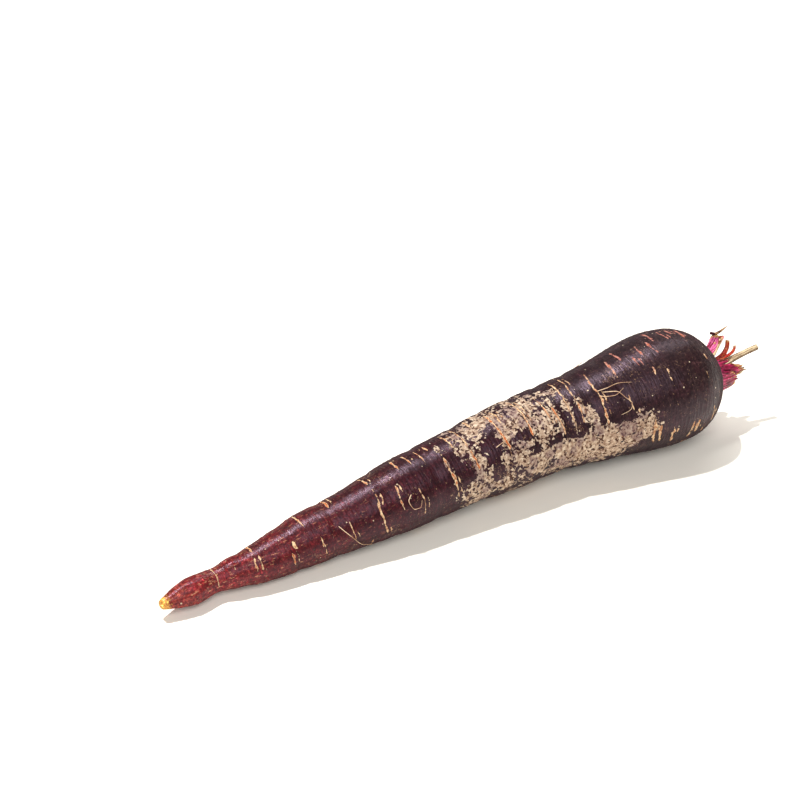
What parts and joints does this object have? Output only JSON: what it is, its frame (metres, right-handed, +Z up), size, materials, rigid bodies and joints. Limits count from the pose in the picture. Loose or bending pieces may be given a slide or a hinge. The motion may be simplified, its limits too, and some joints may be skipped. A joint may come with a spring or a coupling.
{
  "type": "purple carrot",
  "caption": "Dark purple carrot root lying on its side, with russet skin patches, hair-thin rootlets and the stubs of its cut leaves.",
  "frame": {"origin": "on the resting surface, under the middle of the object's bounding box", "axes": "+X along the root, from its thin end to the crown where the leaves were cut; +Z up, away from the surface the carrot lies on"},
  "size_m": [0.2514, 0.0438, 0.0436],
  "materials": {
    "skin": "satin",
    "leaf_base": "satin",
    "pink_leaf_base": "satin",
    "red_stub": "satin",
    "dry_stalk": "matt",
    "dry_scale": "matt",
    "rootlet": "matt"
  },
  "bodies": {
    "root": {"taproot": "skin", "leaf_base_front": "leaf_base", "leaf_base_inner": "leaf_base", "leaf_base_side": "leaf_base", "leaf_base_upper": "pink_leaf_base", "leaf_base_back": "leaf_base", "leaf_base_low": "leaf_base", "leaf_base_under": "leaf_base", "leaf_base_far": "pink_leaf_base", "leaf_stub_red": "red_stub", "leaf_stub_thin": "red_stub", "leaf_stub_middle": "leaf_base", "leaf_stub_back": "red_stub", "dry_stalk": "dry_stalk", "dry_scale_long": "dry_scale", "dry_scale_short": "dry_scale", "rootlet_shoulder_long": "rootlet", "rootlet_shoulder_short": "rootlet", "rootlet_shoulder_loop": "rootlet", "rootlet_shoulder_back": "rootlet", "rootlet_middle_hook": "rootlet", "rootlet_middle_short": "rootlet", "rootlet_middle_back": "rootlet", "rootlet_thin_end_fork": "rootlet", "rootlet_thin_end_back": "rootlet"}
  },
  "joints": []
}
